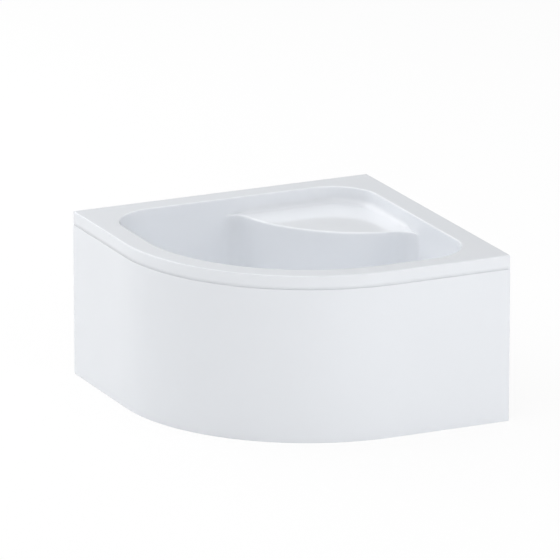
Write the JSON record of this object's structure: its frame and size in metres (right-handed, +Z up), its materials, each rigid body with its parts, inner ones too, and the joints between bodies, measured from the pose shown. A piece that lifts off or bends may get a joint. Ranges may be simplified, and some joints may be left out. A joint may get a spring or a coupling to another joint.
{
  "type": "shower tray",
  "caption": "Deep white quadrant corner shower tray with a moulded corner seat, a pull-off curved apron, adjustable feet on a steel frame, a plugged waste and a bottle trap.",
  "frame": {"origin": "centre of the plan's square on the floor, under the tray", "axes": "+Z up; the two wall sides face +X and +Y; the rounded front faces -X and -Y"},
  "size_m": [0.9, 0.9, 0.47],
  "materials": {
    "shell": "glossy white acrylic",
    "apron": "glossy white acrylic",
    "batten": "raw glass-fibre laminate",
    "board": "unfinished chipboard",
    "rail": "galvanised",
    "zinc": "zinc plated",
    "magnet": "nickel plated",
    "black_plastic": "moulded",
    "chrome": "polished chrome",
    "seal": "soft black rubber",
    "trap_plastic": "white polypropylene"
  },
  "bodies": {
    "tray": {"tray_shell": "shell", "base_board": "board", "seat_board": "board", "cross_rail": "rail", "front_rail_left": "rail", "front_rail_right": "rail", "rear_rail": "rail", "seat_post": "rail", "seat_post_plate": "rail", "rail_end_caps": "black_plastic", "board_screws": "zinc", "plate_screws": "zinc", "weld_nuts": "zinc", "lock_nuts": "zinc", "lock_washers": "zinc", "rim_stop_blocks": "black_plastic", "apron_bracket_left": "rail", "apron_bracket_right": "rail", "apron_bracket_front_left": "rail", "apron_bracket_front_right": "rail", "bracket_bolts": "zinc", "bracket_nuts": "zinc", "bracket_magnets": "magnet", "waste_flange": "chrome", "waste_top_seal": "seal", "waste_bottom_seal": "seal", "waste_body": "trap_plastic", "dip_tube": "trap_plastic", "outlet_nut": "trap_plastic", "outlet_seal": "seal"},
    "apron": {"apron_panel": "apron", "apron_batten_upper": "batten", "apron_batten_lower": "batten", "apron_strike_plates": "zinc"},
    "plug": {"plug_cap": "chrome", "plug_stem": "chrome", "plug_seal": "seal"},
    "trap_cup": {"trap_cup": "trap_plastic", "trap_cup_seal": "seal"},
    "outlet_elbow": {"outlet_elbow": "trap_plastic"},
    "foot_left": {"foot_left_stud": "zinc", "foot_left_pad": "black_plastic"},
    "foot_right": {"foot_right_stud": "zinc", "foot_right_pad": "black_plastic"},
    "foot_front_left": {"foot_front_left_stud": "zinc", "foot_front_left_pad": "black_plastic"},
    "foot_front_right": {"foot_front_right_stud": "zinc", "foot_front_right_pad": "black_plastic"},
    "foot_rear": {"foot_rear_stud": "zinc", "foot_rear_pad": "black_plastic"}
  },
  "joints": [
    {"name": "apron_pull", "type": "slide", "parent": "tray", "child": "apron", "axis": [-0.7071, -0.7071, 0], "range_m": [0, 0.15]},
    {"name": "plug_lift", "type": "slide", "parent": "tray", "child": "plug", "axis": [0, 0, 1], "range_m": [0, 0.008]},
    {"name": "trap_cup_drop", "type": "slide", "parent": "tray", "child": "trap_cup", "axis": [0, 0, -1], "range_m": [0, 0.03]},
    {"name": "outlet_turn", "type": "hinge", "parent": "tray", "child": "outlet_elbow", "pos_m": [-0.03, -0.09, 0.098], "axis": [1, 0, 0], "range_deg": [-90, 10]},
    {"name": "foot_left_screw", "type": "slide", "parent": "tray", "child": "foot_left", "axis": [0, 0, -1], "range_m": [-0.012, 0.012]},
    {"name": "foot_right_screw", "type": "slide", "parent": "tray", "child": "foot_right", "axis": [0, 0, -1], "range_m": [-0.012, 0.012]},
    {"name": "foot_front_left_screw", "type": "slide", "parent": "tray", "child": "foot_front_left", "axis": [0, 0, -1], "range_m": [-0.012, 0.012]},
    {"name": "foot_front_right_screw", "type": "slide", "parent": "tray", "child": "foot_front_right", "axis": [0, 0, -1], "range_m": [-0.012, 0.012]},
    {"name": "foot_rear_screw", "type": "slide", "parent": "tray", "child": "foot_rear", "axis": [0, 0, -1], "range_m": [-0.012, 0.012]}
  ]
}
